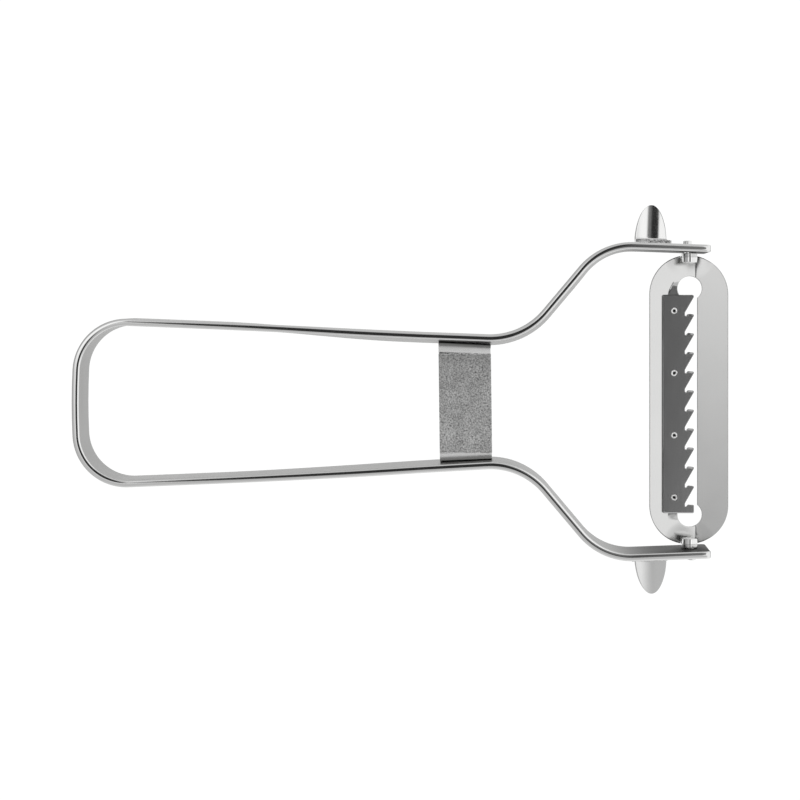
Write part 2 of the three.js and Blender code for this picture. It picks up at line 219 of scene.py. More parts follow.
def arc(x, y, radius, first, last, count, high=None):
    """Points on an arc between two angles in degrees, or on an oval that is so high."""
    turns = [math.radians(first + (last - first) * k / count) for k in range(count + 1)]
    return [(x + radius * math.cos(a), y + (high or radius) * math.sin(a)) for a in turns]


def walk(x, y, heading, moves, facet=math.radians(2)):
    """Points (x, y, heading) along a line of moves, each a length with the turn that it makes."""
    line = [(x, y, heading)]
    for length, turn in moves:
        count = math.ceil(abs(turn) / facet) if turn else max(1, math.ceil(length))
        half = turn / count / 2
        chord = length / count * (math.sin(half) / half if half else 1)
        for _ in range(count):
            heading += half
            x += chord * math.cos(heading)
            y += chord * math.sin(heading)
            heading += half
            line.append((x, y, heading))
    return line


def bar_tree():
    """Sweeps a closed section along a flat path and draws it in at the path's ends."""
    tree, given, out = new_tree("bent_bar", {"Path": "Geometry", "Section": "Object", "Steel": "Material"})
    path = add(tree, "GeometryNodeMeshToCurve", {"Mesh": given["Path"]})
    place = add(tree, "GeometryNodeInputPosition").outputs[0]
    middle = add(tree, "GeometryNodeStoreNamedAttribute", {
        "Geometry": path, "Name": "middle", "Value": place,
    }, data_type="FLOAT_VECTOR")
    length = add(tree, "GeometryNodeSplineParameter").outputs["Length"]
    along = add(tree, "GeometryNodeStoreNamedAttribute", {
        "Geometry": middle, "Name": "along", "Value": length,
    })
    upright = add(tree, "GeometryNodeSetCurveNormal", {"Curve": along}, mode="Z_UP")
    lean = carried(tree, "lean", "FLOAT")
    leaning = add(tree, "GeometryNodeSetCurveTilt", {"Curve": upright, "Tilt": lean})
    drawn = add(tree, "GeometryNodeObjectInfo", {"Object": given["Section"]})
    section = add(tree, "GeometryNodeMeshToCurve", {"Mesh": drawn.outputs["Geometry"]})
    sweep = {"Curve": leaning, "Profile Curve": section, "Fill Caps": True}
    swept = add(tree, "GeometryNodeCurveToMesh", sweep)
    centre = carried(tree, "middle")
    out_from = add(tree, "ShaderNodeVectorMath", {0: place, 1: centre}, operation="SUBTRACT")
    drawn_in = add(tree, "ShaderNodeVectorMath", {
        0: out_from, 1: carried(tree, "shrink"), 2: centre,
    }, operation="MULTIPLY_ADD")
    ended = add(tree, "GeometryNodeSetPosition", {"Geometry": swept, "Position": drawn_in})
    end_tree(tree, ended, given["Steel"], out)
    return tree


def carry(host, name, kind, values):
    """Gives the points of a host a value each, to be read in a tree."""
    attribute = host.data.attributes.new(name, kind, "POINT")
    attribute.data.foreach_set("value" if kind == "FLOAT" else "vector", values)


def bent_bar(name, line, level, shrinks, section, steel, leans=None):
    """A bar of a closed section (outward, up) swept along a flat line of (x, y, heading) points."""
    links = [(k, k + 1) for k in range(len(line) - 1)]
    host = object_of(name, [(x, y, level) for x, y, _ in line], edges=links)
    carry(host, "shrink", "FLOAT_VECTOR", [value for shrink in shrinks for value in shrink])
    carry(host, "lean", "FLOAT", [-lean for lean in leans or [0] * len(line)])
    loop = [(k, (k + 1) % len(section)) for k in range(len(section))]
    drawing = object_of("section", [(-outward, -up, 0) for outward, up in section], edges=loop)
    grown(host, bent_bar_tree, Section=drawing, Steel=steel)
    bpy.data.objects.remove(drawing)
    return host


def new_steel(name):
    """A metal material and its Object coordinates, which are in metres."""
    steel = bpy.data.materials.new(name)
    steel.use_nodes = True
    tree = steel.node_tree
    tree.nodes["Principled BSDF"].inputs["Metallic"].default_value = 1
    return steel, add(tree, "ShaderNodeTexCoord").outputs["Object"]


def finished(steel, colour, rough, relief, strength, depth):
    """Gives a metal its colour, its roughness and a fine relief, whose depth is in millimetres."""
    tree = steel.node_tree
    bump = add(tree, "ShaderNodeBump", {"Height": relief, "Strength": strength, "Distance": depth * MM})
    looks = {"Base Color": colour, "Roughness": rough, "Normal": bump.outputs[0]}
    for socket, value in looks.items():
        tree.links.new(value, tree.nodes["Principled BSDF"].inputs[socket])
    return steel


def split(vector):
    """The X, Y and Z of a vector."""
    return add(vector.id_data, "ShaderNodeSeparateXYZ", {"Vector": vector}).outputs


def maths(operation, *values):
    """The result of one sum."""
    inputs = dict(enumerate(values))
    return add(values[0].id_data, "ShaderNodeMath", inputs, operation=operation).outputs[0]


def spread(value, low, high, from_low=0.0, from_high=1.0, smooth=False):
    """Maps a value from one range to another."""
    kind = "SMOOTHSTEP" if smooth else "LINEAR"
    return add(value.id_data, "ShaderNodeMapRange", {
        "Value": value, "From Min": from_low, "From Max": from_high, "To Min": low, "To Max": high,
    }, interpolation_type=kind).outputs[0]


def mottle(place, scale, detail=2.0, rough=0.5):
    """Even noise in metres: scale is in lumps per metre."""
    return add(place.id_data, "ShaderNodeTexNoise", {
        "Vector": place, "Scale": scale, "Detail": detail, "Roughness": rough,
    }).outputs["Fac"]


def grained(place, scales):
    """Fine lines: noise drawn out by its three scales, each in lumps per metre."""
    stretched = add(place.id_data, "ShaderNodeMapping", {"Vector": place, "Scale": scales}).outputs[0]
    return mottle(stretched, 1.0, 3.0, 0.6)


def mixed(share, first, second):
    """A number between two others."""
    values = {"Factor": share, "A": first, "B": second}
    return add(share.id_data, "ShaderNodeMix", values, data_type="FLOAT").outputs["Result"]


def tinted(share, first, second):
    """A colour mixed from two others."""
    values = {"Factor": share, "A": first, "B": second}
    return add(share.id_data, "ShaderNodeMix", values, data_type="RGBA").outputs["Result"]


def strip_steel():
    """Satin faces brushed along the bar, with polished crowned edges; the fork's inner faces towards the
    arm tips are painted dark as shade, with their reflections weakened.
    """
    steel, place = new_steel("strip_steel")
    tree = steel.node_tree
    along = add(tree, "ShaderNodeAttribute", attribute_name="along").outputs["Fac"]
    at = split(place)
    facing = split(add(tree, "ShaderNodeNewGeometry").outputs["Normal"])
    unrolled = add(tree, "ShaderNodeCombineXYZ", {"X": along, "Y": at["Z"]}).outputs[0]
    brushing = grained(unrolled, (40, 5200, 1))
    clouds = mottle(place, 90)
    edge = spread(maths("ABSOLUTE", facing["Z"]), 0, 1, 0.25, 0.8, smooth=True)
    satin = spread(brushing, 0.3, 0.46)
    polished = spread(clouds, 0.05, 0.09)
    # Painted shade: towards the arm tips, the fork's inner faces go to a dark 0.09 and reflect less.
    shade_from, shade_full = fork_painted_shade_range
    ahead = spread(at["X"], 0, 1, shade_from * MM, shade_full * MM, smooth=True)
    away = maths("MULTIPLY", facing["Y"], at["Y"])
    fork_shade = maths("MULTIPLY", ahead, spread(away, 1, 0, -fork_painted_shade_reach * MM, 0))
    sheen = tinted(clouds, (0.26, 0.26, 0.255, 1), (0.33, 0.33, 0.325, 1))
    face = tinted(fork_shade, sheen, (0.09, 0.09, 0.088, 1))
    bright = tinted(clouds, (0.76, 0.76, 0.755, 1), (0.84, 0.84, 0.835, 1))
    glance = tinted(fork_shade, (1, 1, 1, 1), (0.6, 0.6, 0.6, 1))
    tree.links.new(glance, tree.nodes["Principled BSDF"].inputs["Specular Tint"])
    colour = tinted(edge, face, bright)
    lines = maths("MULTIPLY", brushing, spread(edge, 1, 0))
    return finished(steel, colour, mixed(edge, satin, polished), lines, strength=0.12, depth=0.02)


bent_bar_tree = bar_tree()
butt_turn = butt_half_length / butt_bow_radius
corner_turn = math.pi / 2 - butt_turn + side_taper
half_line = walk(strip_low.x + strip_thickness / 2, 0, math.pi / 2, [
    (butt_half_length, -butt_turn),
    (butt_corner_radius * corner_turn, -corner_turn),
    (side_length, 0),
    (waist_radius * (fork_spread + side_taper), fork_spread + side_taper),
    (spread_length, 0),
    (shoulder_radius * (fork_spread + arm_toe_in), -fork_spread - arm_toe_in),
    (arm_length - arm_corner_radius, 0),
    *rounding_moves(arm_corner_radius, 10),
])
arm_tip = Vector(half_line[-1][:2])
half_length = [0]
for before, after in zip(half_line, half_line[1:]):
    half_length.append(half_length[-1] + math.dist(before[:2], after[:2]))


def tip_shrink(point):
    """How far the section is drawn in near an arm tip: across, across, and in height."""
    left = (arm_tip - Vector(point[:2])).length
    across = 1 - rounded_off(arm_end_round, left) / (strip_thickness / 2)
    return across, across, 1 - rounded_off(arm_corner_radius, left) / (strip_width / 2)


def lean_at(length, most):
    """How far the bar leans outward, by its length from the middle of the butt: most about the waist."""
    rise = most * smooth_step(*lean_rise, length)
    return rise + (arm_lean - rise) * smooth_step(*lean_fall, length)


def handle_shift(x):
    """The loop is set a little to the right of the fork, as bending left it."""
    return -handle_set * smooth_step(*handle_set_range, x)


def bent_point(point, length, lean, side):
    """A point of the bar's middle line as bent: leaned, bowed and set over; side is 1 on the left."""
    x, y, heading = point
    bow = side_bow * math.sin(math.pi * min(1, max(0, (length - side_bow_start) / side_bow_length)))
    outward = bow - strip_width / 2 * math.sin(lean)
    x -= outward * math.sin(heading)
    y += outward * math.cos(heading)
    return x, side * y + handle_shift(x), heading if side > 0 else math.pi - heading


crown_base = strip_width / 2 - strip_crown
top_section = [(strip_thickness / 2, crown_base - support)]
top_section += arc(0, crown_base, strip_thickness / 2, 0, 180, crown_steps, high=strip_crown)
top_section.append((-strip_thickness / 2, crown_base - support))
strip_section = top_section + [(-outward, -up) for outward, up in top_section]
lean_left = [lean_at(length, left_lean) for length in half_length]
lean_right = [lean_at(length, right_lean) for length in half_length]
half_shrink = [tip_shrink(point) for point in half_line]
left_line = [bent_point(*given, 1) for given in zip(half_line, half_length, lean_left)]
right_line = [bent_point(*given, -1) for given in zip(half_line, half_length, lean_right)]
handle_strip = bent_bar(
    "handle_strip_bar", right_line[:0:-1] + left_line, strip_middle_z,
    half_shrink[:0:-1] + half_shrink, strip_section, strip_steel(), lean_right[:0:-1] + lean_left,
)
drilled(handle_strip, [(pivot, "Y", rivet_hole_radius, 3 * strip_high.y)])
shaded(handle_strip, 35)
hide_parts("handle_strip")
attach(handle_strip, "handle")

# Cross brace.
# A U-shaped bridge pressed from stainless sheet, its flanges spot-welded to the inner faces of the strip.
# It slopes down a little ahead of each bend, and it sits slightly askew.
# Its top is blasted to a coarse grain that stops short of the two bends, which stay smooth and bright.
brace_low, brace_high = (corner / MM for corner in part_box("cross_brace"))
brace_thickness = 0.8
brace_left_bevel = math.radians(12.5)
brace_right_bevel = math.radians(5.5)
brace_left_bevel_length = 1.1
brace_right_bevel_length = 1.4
brace_bevel_radius = 1.7
brace_left_bend = 0.7
brace_right_bend = 0.5
brace_edge_round = 0.12
brace_overlap = 0.35
brace_askew = 0.0125
brace_set = 0.4
brace_set_fade = 2.2
brace_tuck_range = (4, 1)
brace_grain_half_length = 11
brace_grain_middle = -0.55
brace_grain_ragged = 0.3
# Where the painted shading across the blasted top ends: lighter at the first, darker at the second.
brace_painted_shade_range = (-11.5, 10.5)
brace_bright_depth = 0.48


def rounded_section(half_thickness, half_width, rounding):
    """A closed rectangular section (outward, up) with rounded corners and a point beside each rounding."""
    points = []
    for side, end, start in ((1, 1, 0), (-1, 1, 90), (-1, -1, 180), (1, -1, 270)):
        x = side * (half_thickness - rounding)
        y = end * (half_width - rounding)
        corner = arc(x, y, rounding, start, start + 90, 5)
        lead = math.radians(start)
        points.append((corner[0][0] + support * math.sin(lead), corner[0][1] - support * math.cos(lead)))
        points += corner
        points.append((corner[-1][0] - support * math.cos(lead), corner[-1][1] - support * math.sin(lead)))
    return points


def stood_up(made):
    """Turns a bar swept in the flat so that it stands across the peeler: its x, y, z become y, z, x."""
    made.data.transform(Matrix(((0, 0, 1, 0), (1, 0, 0, 0), (0, 1, 0, 0), (0, 0, 0, 1))))
    return made


def brace_steel():
    """Coarse blasted grain on the top with painted shading, lighter towards -Y; bright bends, with painted
    shade in the crevice below each, fading to grey further down.
    """
    steel, place = new_steel("brace_steel")
    tree = steel.node_tree
    at = split(place)
    reach = maths("ABSOLUTE", maths("SUBTRACT", at["Y"], brace_grain_middle * MM))
    uneven_edge = mottle(place, 900, 1.0)
    ragged = spread(uneven_edge, -brace_grain_ragged * MM, brace_grain_ragged * MM)
    limit = maths("ADD", reach, ragged)
    edge = brace_grain_half_length
    blasted = spread(limit, 1, 0, (edge - 0.1) * MM, (edge + 0.2) * MM, smooth=True)
    grain = spread(mottle(place, 2600, 3.0, 0.7), 0, 1, 0.34, 0.62)
    smooth = spread(mottle(place, 300), 0.14, 0.22)
    rough = mixed(blasted, smooth, spread(grain, 0.3, 0.48))
    grit = tinted(grain, (0.2, 0.2, 0.2, 1), (0.6, 0.6, 0.595, 1))
    cloudy = spread(mottle(place, 350), 0.88, 1.12, 0.3, 0.7)
    shade_right_end, shade_left_end = brace_painted_shade_range
    # Painted shading: the blasted grain is made lighter towards -Y and darker towards +Y.
    painted_shade_slope = spread(at["Y"], 1.14, 0.88, shade_right_end * MM, shade_left_end * MM)
    toned = {"Factor": 1.0, "A": grit, "B": maths("MULTIPLY", cloudy, painted_shade_slope)}
    pits = add(tree, "ShaderNodeMix", toned, data_type="RGBA", blend_type="MULTIPLY").outputs["Result"]
    # Painted shade: below the bright part of each bend the colour falls to 0.12 in the crevice against the
    # strip, then rises to 0.42 further down.
    bend = brace_high.z - brace_bright_depth
    below = spread(at["Z"], 1, 0, (bend - 0.3) * MM, (bend + 0.3) * MM, smooth=True)
    flange = spread(at["Z"], 1, 0, (bend - 2) * MM, (bend - 1) * MM, smooth=True)
    foot = tinted(flange, (0.12, 0.12, 0.119, 1), (0.42, 0.42, 0.417, 1))
    bare = tinted(below, (0.95, 0.95, 0.945, 1), foot)
    colour = tinted(blasted, bare, pits)
    coarse = maths("MULTIPLY", grain, blasted)
    return finished(steel, colour, rough, coarse, strength=0.5, depth=0.1)


brace_width = brace_high.x - brace_low.x + brace_overlap
brace_middle_x = brace_high.x - brace_width / 2
brace_half = brace_high.y - brace_width / 2 * math.tan(side_taper)
brace_flank = brace_half - brace_thickness / 2
brace_height = brace_high.z - brace_low.z - brace_thickness / 2


def brace_end(bevel, length, bend):
    """One end of the bridge, from the foot of its flange up to the flat: its moves and its length."""
    steep = math.pi / 2 - bevel
    run = brace_bevel_radius * math.sin(bevel) + length * math.cos(bevel)
    run += bend * (1 - math.sin(bevel))
    drop = brace_bevel_radius * (1 - math.cos(bevel)) + length * math.sin(bevel)
    drop += bend * math.cos(bevel)
    moves = [(brace_height - drop, 0), (bend * steep, -steep)]
    moves += [(length, 0), (brace_bevel_radius * bevel, -bevel)]
    return moves, run


right_end, right_run = brace_end(brace_right_bevel, brace_right_bevel_length, brace_right_bend)
left_end, left_run = brace_end(brace_left_bevel, brace_left_bevel_length, brace_left_bend)
brace_moves = right_end + [(2 * brace_flank - right_run - left_run, 0)] + left_end[::-1]
brace_line = walk(-brace_flank, brace_low.z, math.pi / 2, brace_moves, facet=math.radians(3))
brace_section = rounded_section(brace_thickness / 2, brace_width / 2, brace_edge_round)
brace_shrink = [(1, 1, 1)] * len(brace_line)
cross_brace = stood_up(bent_bar(
    "cross_brace_plate", brace_line, brace_middle_x, brace_shrink, brace_section, brace_steel(),
))
tuck_from, tuck_full = brace_tuck_range
for vertex in cross_brace.data.vertices:
    beyond = vertex.co.x / MM - brace_middle_x
    vertex.co.y *= 1 - beyond * math.tan(side_taper) / brace_half
    vertex.co.x -= brace_askew * vertex.co.y
    reach = abs(vertex.co.y) / MM
    leaned = left_lean if vertex.co.y > 0 else right_lean
    tucked = (strip_width - vertex.co.z / MM) * math.tan(leaned)
    tucked *= smooth_step(brace_half - tuck_from, brace_half - tuck_full, reach)
    set_over = brace_set * (1 - smooth_step(brace_half - brace_set_fade, brace_half, reach))
    vertex.co.y += (handle_shift(brace_middle_x) - set_over - math.copysign(tucked, vertex.co.y)) * MM
shaded(cross_brace, 35)
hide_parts("cross_brace")
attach(cross_brace, "handle")

# Eye gouges.
# Two spoon-shaped pieces that cut out the eyes of potatoes, pressed from bright sheet and bent to a foot.
# Each foot is welded flat to the outer face of an arm; its sheared top edge is left rough.
gouge_setback = 12.7
gouge_thickness = 0.8
gouge_length = 8.68
gouge_half_width = 3.57
gouge_tip_angle = math.radians(86.5)
gouge_trough_radius = 14
gouge_pitch = math.radians(3)
gouge_level = 2.0
gouge_foot_width = 8
gouge_foot_offset = 0.45
gouge_foot_top = 5.5
gouge_torn_depth = 0.25
gouge_bend_radius = 0.8
gouge_rim_round = 0.16
gouge_sides = 32
gouge_bend_rows = 8
gouge_scoop_rows = 36
weld_gap = 0.1


def copies_tree():
    """Puts a copy of a shape on every point of the host, turned about Z by the point's own angle."""
    tree, given, out = new_tree("copies", {"Places": "Geometry", "Shape": "Object", "Steel": "Material"})
    shape = add(tree, "GeometryNodeObjectInfo", {"Object": given["Shape"]})
    copies = add(tree, "GeometryNodeInstanceOnPoints", {
        "Points": given["Places"], "Instance": shape.outputs["Geometry"], "Rotation": carried(tree, "turn"),
    })
    end_tree(tree, copies, given["Steel"], out)
    return tree


def in_places(name, shape, places, steel):
    """One piece made of copies of a shape; each place is a point and a turn about Z. Uses the shape up."""
    host = object_of(name, [point for point, _ in places])
    carry(host, "turn", "FLOAT_VECTOR", [value for _, turn in places for value in (0, 0, turn)])
    grown(host, place_copies, Shape=shape, Steel=steel)
    bpy.data.objects.remove(shape)
    return host


def gouge_shape():
    """One gouge about the middle of its foot, pointing along Y, in rows from the foot to the tip."""
    foot_y = weld_gap + gouge_thickness / 2
    root_y = foot_y + gouge_bend_radius
    root_angle = math.asin((root_y - weld_gap) / gouge_length)

    def trough(side, y):
        x = side * gouge_half_width * math.sqrt(1 - ((y - weld_gap) / gouge_length) ** 2)
        rise = gouge_trough_radius - math.sqrt(gouge_trough_radius ** 2 - x ** 2)
        return x, y, gouge_level + rise - y * math.tan(gouge_pitch)

    def foot(side, share):
        bottom = trough(side, root_y)[2] + gouge_bend_radius
        x = gouge_foot_offset + side * gouge_foot_width / 2
        return x, foot_y, gouge_foot_top + (bottom - gouge_foot_top) * share

    def bend(side, share):
        angle = math.pi / 2 * share
        x_foot = foot(side, share)[0]
        x_root, _, z_root = trough(side, root_y)
        x = x_foot + (x_root - x_foot) * smooth_step(0, 1, share)
        y = foot_y + gouge_bend_radius * (1 - math.cos(angle))
        return x, y, z_root + gouge_bend_radius * (1 - math.sin(angle))

    def scoop(side, share):
        angle = root_angle + (gouge_tip_angle - root_angle) * share
        return trough(side, weld_gap + gouge_length * math.sin(angle))

    bend_shares = [k / gouge_bend_rows for k in range(gouge_bend_rows + 1)]
    scoop_shares = [k / gouge_scoop_rows for k in range(gouge_scoop_rows + 1)]
    across = [2 * i / gouge_sides - 1 for i in range(gouge_sides + 1)]
    columns = len(across)
    points = [foot(side, share) for share in bend_shares for side in across]
    points += [bend(side, share) for share in bend_shares[1:] for side in across]
    points += [scoop(side, share) for share in scoop_shares[1:] for side in across]
    faces = []
    for first in range(0, len(points) - columns, columns):
        for a in range(first, first + gouge_sides):
            faces.append((a, a + columns, a + columns + 1, a + 1))
    shape = object_of("gouge", points, faces)
    solid = shape.modifiers.new("thickness", "SOLIDIFY")
    solid.thickness = gouge_thickness * MM
    solid.offset = 0
    solid.use_even_offset = True
    rim = shape.modifiers.new("rim", "BEVEL")
    rim.width = gouge_rim_round * MM
    rim.segments = 3
    rim.limit_method = "ANGLE"
    rim.angle_limit = math.radians(50)
    return shaded(plain_mesh(shape), 40)


def gouge_steel():
    """Bright stamped sheet; the sheared rim is darker and the top edge of the foot is torn."""
    steel, place = new_steel("gouge_steel")
    tree = steel.node_tree
    clouds = mottle(place, 160)
    top = gouge_foot_top - gouge_torn_depth
    sheared = spread(split(place)["Z"], 0, 1, top * MM, (top + 0.1) * MM, smooth=True)
    tear = spread(mottle(place, 1500, 3.0, 0.7), 0, 1, 0.36, 0.62)
    rough = mixed(sheared, spread(clouds, 0.07, 0.13), spread(tear, 0.2, 0.4))
    facing = split(add(tree, "ShaderNodeNewGeometry").outputs["Normal"])
    rim = spread(maths("ABSOLUTE", facing["X"]), 0, 1, 0.32, 0.6, smooth=True)
    polished = tinted(clouds, (0.74, 0.74, 0.735, 1), (0.82, 0.82, 0.815, 1))
    bright = tinted(rim, polished, (0.2, 0.2, 0.198, 1))
    torn = tinted(tear, (0.2, 0.2, 0.2, 1), (0.95, 0.95, 0.945, 1))
    colour = tinted(sheared, bright, torn)
    coarse = maths("MULTIPLY", tear, sheared)
    return finished(steel, colour, rough, coarse, strength=0.7, depth=0.2)


def arm_outside(x):
    """Distance of an arm's outer face from the middle plane."""
    return arm_tip.y + (arm_tip.x - x) * math.tan(arm_toe_in) + strip_thickness / 2 / math.cos(arm_toe_in)


place_copies = copies_tree()
gouge_x = arm_tip.x - gouge_setback
gouge_y = arm_outside(gouge_x)
eye_gouges = in_places("eye_gouges_pair", gouge_shape(), [
    ((gouge_x, gouge_y, 0), -arm_toe_in),
    ((gouge_x, -gouge_y, 0), math.pi + arm_toe_in),
], gouge_steel())
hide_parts("eye_gouge_left", "eye_gouge_right")
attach(eye_gouges, "handle")

# Pivot rivets.
# Two shouldered steel rivets that the blade swings on: a turned head, and a shank through ear and arm.
# The outer end stands out of the arm as a short stub, off-centre as closing left it.
# The head's end is domed and polished.
pivot_head_radius = 1.75
pivot_head_length = 1.3
pivot_head_dome = 0.12
pivot_head_round = 0.22
pivot_head_break = 0.03
pivot_head_gap = 0.02
pivot_shank_radius = 1
pivot_shank_taper = 0.06
pivot_stub_radius = 1
pivot_stub_length = 0.8
pivot_stub_round = 0.25
pivot_stub_offset = 0.45
rivet_support = 0.05
rivet_gap = 0.1
lathe_core = 0.02
tolerance = 0.01
carrier_thickness = 0.8
end_play = 0.32
ear_width = 3.5


def lathed(name, profile, sides, wobble=None):
    """A closed turned shape about Z from (radius, height) points; wobble scales the radius by angle."""
    points = []
    for radius, height in profile:
        for k in range(sides):
            angle = 2 * math.pi * k / sides
            out = radius * (wobble(angle) if wobble else 1)
            points.append((out * math.cos(angle), out * math.sin(angle), height))
    return object_of(name, points, ring_faces(len(profile), sides))


def rivet_steel():
    """Bright turned steel with faint dents."""
    steel, place = new_steel("rivet_steel")
    clouds = mottle(place, 700)
    colour = tinted(clouds, (0.78, 0.78, 0.775, 1), (0.88, 0.88, 0.875, 1))
    dents = mottle(place, 1500, 1.0)
    return finished(steel, colour, spread(clouds, 0.03, 0.06), dents, strength=0.03, depth=0.1)


arm_inside = arm_outside(pivot.x + ear_width / 2) - strip_thickness / math.cos(arm_toe_in)
ear_outer = arm_inside - end_play
ear_inner = ear_outer - carrier_thickness
head_inner = ear_inner - rivet_gap - pivot_head_length
head_outer = ear_inner - pivot_head_gap
head_reach = pivot_head_radius - pivot_head_round
shoulder = head_inner + pivot_head_dome + pivot_head_round
stub_base = arm_outside(pivot.x - pivot_stub_radius) + rivet_gap
stub_end = stub_base + pivot_stub_length
rivet_profile = [(lathe_core, head_inner)]
for share in (k / 8 for k in range(1, 9)):
    rivet_profile.append((head_reach * share, head_inner + pivot_head_dome * share ** 2))
rivet_profile += arc(head_reach, shoulder, pivot_head_round, -90, 0, 8)[1:]
rivet_profile += [
    (pivot_head_radius, shoulder + rivet_support),
    (pivot_head_radius, head_outer - 2 * pivot_head_break),
    (pivot_head_radius, head_outer - pivot_head_break),
    (pivot_head_radius - pivot_head_break, head_outer),
    (pivot_shank_radius, head_outer),
    (pivot_shank_radius - pivot_shank_taper, stub_base),
    (pivot_stub_radius, stub_base),
    (pivot_stub_radius, stub_end - pivot_stub_round - rivet_support),
]
stub_reach = pivot_stub_radius - pivot_stub_round
rivet_profile += arc(stub_reach, stub_end - pivot_stub_round, pivot_stub_round, 0, 90, 8)
rivet_profile.append((lathe_core, stub_end))
rivet_shape = lathed("rivet", rivet_profile, 64)
rivet_shape.data.transform(Matrix(((0, 1, 0, 0), (0, 0, 1, 0), (1, 0, 0, 0), (0, 0, 0, 1))))
for vertex in rivet_shape.data.vertices:
    if vertex.co.y > (stub_base - tolerance) * MM:
        vertex.co.x -= pivot_stub_offset * MM
shaded(rivet_shape, 40)
pivot_rivets = in_places("pivot_rivets_pair", rivet_shape, [(pivot, 0), (pivot, math.pi)], rivet_steel())
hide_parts("pivot_rivet_left", "pivot_rivet_right")
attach(pivot_rivets, "handle")

# Blade carrier.
# The swivelling blade, stamped from one sheet: folded to a shallow V, with an ear bent up at each end.
# Its slot ends in keyholes, and the wing is ground to a cutting edge along the slot.
# A land is sunk for the toothed plate.
carrier_half_width = 8.928
carrier_drop = 3.3
wing_crease = 1.7
crease_softness = 0.1
wing_slope = math.tan(math.radians(12))
rim_slope = math.tan(math.radians(7))
fold_flat_radius = 1.2
fold_full_radius = 6.2
fold_left = 0.3
slot_left = -1.3
slot_right = 1.99
keyhole_radius = 2.75
keyhole_offset = 0.28
keyhole_head_inset = 7.86
keyhole_tail_inset = 7.05
cutting_bevel_width = 0.14
cutting_bevel_drop = 0.05
cutting_edge_thickness = 0.15
cutting_grind_width = 0.74
cutting_grind_range = (0.8, -0.2)
carrier_rim_round = 0.14
carrier_steps = 150
carrier_rows = 38
rim_rows = (0, 0.012, 0.042, 0.085, 0.14, 0.22)
grind_rows = (0.32, 0.46, 0.6, 0.74)
ear_bend_radius = 0.8
ear_foot_length = 1.7
ear_foot_thin = 0.5
ear_foot_thin_from = 1.2
ear_tip_share = 0.02
ear_edge_round = 0.05
ear_hole_radius = 1.15
ear_relief_range = (1.92, 1.72)
plate_thickness = 0.4
plate_left = -5.84
plate_gullet = -0.86
plate_tip = 1.17
plate_top = 23.75
plate_tail = 1.95
tooth_count = 12
tooth_pitch = 4.31
land_depth = 0.15
land_margin = 0.06
land_step = 0.18
land_right_range = (0.8, -0.8)
land_head_margin = 1.8
land_tail_margin = 0.2
land_run_out = 1.4
land_end_step = 1.2
land_end_range = (0.3, -0.1)
land_end_slant = 0.5
eyelet_count = 4
eyelet_head_inset = 3.6
eyelet_tail_inset = 3.58
eyelet_offset = -3.33
eyelet_hole_radius = 0.6
eyelet_drill_length = 4
seat_gap = 0.06
plate_bottom = plate_top - (tooth_count - 1) * tooth_pitch - plate_tail
land_left = plate_left - land_margin
land_top = plate_top + land_head_margin
land_bottom = plate_bottom - land_tail_margin
land_level = -carrier_drop + (wing_crease - land_left) * rim_slope - land_depth
eyelet_first = plate_top - eyelet_head_inset
eyelet_last = plate_bottom + eyelet_tail_inset
eyelet_step = (eyelet_last - eyelet_first) / (eyelet_count - 1)
slot_head = ear_outer - keyhole_head_inset
slot_tail = keyhole_tail_inset - ear_outer
slot_middle = (slot_head + slot_tail) / 2
slot_right_angle = math.acos((slot_right - keyhole_offset) / keyhole_radius)
slot_left_angle = math.acos((slot_left - keyhole_offset) / keyhole_radius)
slot_right_half = (slot_head - slot_tail) / 2 - keyhole_radius * math.sin(slot_right_angle)
slot_left_half = (slot_head - slot_tail) / 2 - keyhole_radius * math.sin(slot_left_angle)


def carrier_level(x, y):
    """Height of the middle of the carrier sheet from the pivot axis."""
    beyond = x - wing_crease
    fold = (wing_slope - rim_slope) / 2 * beyond
    fold += (wing_slope + rim_slope) / 2 * math.sqrt(beyond ** 2 + crease_softness ** 2)
    root = math.hypot(x, abs(y) - ear_outer)
    kept = fold_left + (1 - fold_left) * smooth_step(fold_flat_radius, fold_full_radius, root)
    along = smooth_step(land_top + land_run_out, land_top, y)
    along *= smooth_step(land_bottom - land_run_out, land_bottom, y)
    end_from, end_full = land_end_range
    ended = smooth_step(plate_top - end_from, plate_top - end_full, y)
    ended += smooth_step(plate_bottom + end_from, plate_bottom + end_full, y)
    left = land_left + land_end_step * ended + land_end_slant * max(0, y - plate_top)
    across = smooth_step(left - land_step, left, x) * smooth_step(*land_right_range, x)
    pressed = along * across
    return (-carrier_drop + fold * kept) * (1 - pressed) + land_level * pressed


def carrier_outlines():
    """Matching points round the outside of the carrier and round its slot, anticlockwise from the right."""
    round_y = ear_outer - end_play - carrier_half_width
    head_sweep = 2 * math.pi - slot_left_angle + slot_right_angle
    tail_sweep = 2 * math.pi + slot_right_angle - slot_left_angle
    pairs = []
    for sign, slot_x, half, keyhole_y, start, sweep in (
        (1, slot_right, slot_right_half, slot_head, -slot_right_angle, head_sweep),
        (-1, slot_left, slot_left_half, slot_tail, slot_left_angle, tail_sweep),
    ):
        for k in range(carrier_steps):
            share = sign * (2 * k / carrier_steps - 1)
            outside = (sign * carrier_half_width, round_y * share)
            pairs.append((outside, (slot_x, slot_middle + half * share)))
        for k in range(carrier_steps):
            turn = math.pi * k / carrier_steps
            x = sign * carrier_half_width * math.cos(turn)
            relief = smooth_step(*ear_relief_range, abs(x)) * ear_bend_radius
            reach = min(carrier_half_width - relief, carrier_half_width * math.sin(turn))
            angle = start + sweep * k / carrier_steps
            rim_x = keyhole_offset + keyhole_radius * math.cos(angle)
            rim_y = keyhole_y + keyhole_radius * math.sin(angle)
            pairs.append(((x, sign * (round_y + reach)), (rim_x, rim_y)))
    return pairs


